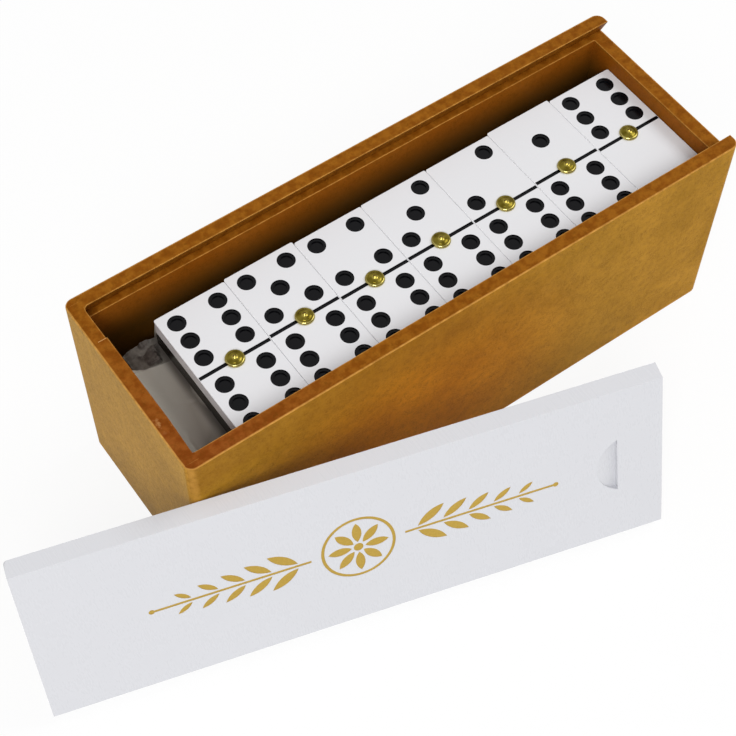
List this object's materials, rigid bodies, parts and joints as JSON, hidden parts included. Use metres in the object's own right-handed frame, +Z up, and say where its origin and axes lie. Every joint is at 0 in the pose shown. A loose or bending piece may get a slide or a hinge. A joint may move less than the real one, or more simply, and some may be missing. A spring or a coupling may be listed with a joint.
{
  "type": "domino storage box",
  "caption": "Stained wooden slide-lid box of dominoes: two-tone brass-pinned tiles in a top row over a wrapped packet, with its white bevelled lid taken off and leaning on one corner.",
  "frame": {"origin": "centre of the box's base, on the surface that it stands on", "axes": "+X along the box to the end where the lid slides out, +Y across the box away from the leaning lid, +Z up"},
  "size_m": [0.2585, 0.13, 0.076],
  "materials": {
    "stained_board": "orange-brown stained fibreboard, satin",
    "white_plastic": "smooth white, soft gloss",
    "gold_foil": "stamped gold foil",
    "packing_film": "grey-white crumpled wrap, slightly translucent",
    "tile_white": "glossy white with black engraving",
    "tile_dark": "glossy brown-black",
    "brass_pin": "turned and polished"
  },
  "bodies": {
    "box": {"side_front": "stained_board", "side_back": "stained_board", "end_closed": "stained_board", "end_open": "stained_board", "bottom": "stained_board"},
    "lid": {"lid": "white_plastic", "lid_ornament": "gold_foil"},
    "packet": {"packing_wrap": "packing_film", "packed_row_1_faces": "tile_white", "packed_row_1_backs": "tile_dark", "packed_row_1_pins": "brass_pin", "packed_row_2_faces": "tile_white", "packed_row_2_backs": "tile_dark", "packed_row_2_pins": "brass_pin", "packed_row_3_faces": "tile_white", "packed_row_3_backs": "tile_dark", "packed_row_3_pins": "brass_pin"},
    "tile_6_6": {"tile_6_6_face": "tile_white", "tile_6_6_back": "tile_dark", "tile_6_6_pin": "brass_pin"},
    "tile_5_6": {"tile_5_6_face": "tile_white", "tile_5_6_back": "tile_dark", "tile_5_6_pin": "brass_pin"},
    "tile_4_6": {"tile_4_6_face": "tile_white", "tile_4_6_back": "tile_dark", "tile_4_6_pin": "brass_pin"},
    "tile_3_6": {"tile_3_6_face": "tile_white", "tile_3_6_back": "tile_dark", "tile_3_6_pin": "brass_pin"},
    "tile_2_6": {"tile_2_6_face": "tile_white", "tile_2_6_back": "tile_dark", "tile_2_6_pin": "brass_pin"},
    "tile_1_6": {"tile_1_6_face": "tile_white", "tile_1_6_back": "tile_dark", "tile_1_6_pin": "brass_pin"},
    "tile_6_0": {"tile_6_0_face": "tile_white", "tile_6_0_back": "tile_dark", "tile_6_0_pin": "brass_pin"}
  },
  "joints": [
    {"name": "lid_slide", "type": "slide", "parent": "box", "child": "lid", "axis": [0.9617, -0.274, 0], "range_m": [0, 0.195]},
    {"name": "packet_lift", "type": "slide", "parent": "box", "child": "packet", "axis": [0, 0, 1], "range_m": [0, 0.075]},
    {"name": "tile_6_6_lift", "type": "slide", "parent": "packet", "child": "tile_6_6", "axis": [0, 0, 1], "range_m": [0, 0.03]},
    {"name": "tile_5_6_lift", "type": "slide", "parent": "packet", "child": "tile_5_6", "axis": [0, 0, 1], "range_m": [0, 0.03]},
    {"name": "tile_4_6_lift", "type": "slide", "parent": "packet", "child": "tile_4_6", "axis": [0, 0, 1], "range_m": [0, 0.03]},
    {"name": "tile_3_6_lift", "type": "slide", "parent": "packet", "child": "tile_3_6", "axis": [0, 0, 1], "range_m": [0, 0.03]},
    {"name": "tile_2_6_lift", "type": "slide", "parent": "packet", "child": "tile_2_6", "axis": [0, 0, 1], "range_m": [0, 0.03]},
    {"name": "tile_1_6_lift", "type": "slide", "parent": "packet", "child": "tile_1_6", "axis": [0, 0, 1], "range_m": [0, 0.03]},
    {"name": "tile_6_0_lift", "type": "slide", "parent": "packet", "child": "tile_6_0", "axis": [0, 0, 1], "range_m": [0, 0.03]}
  ]
}
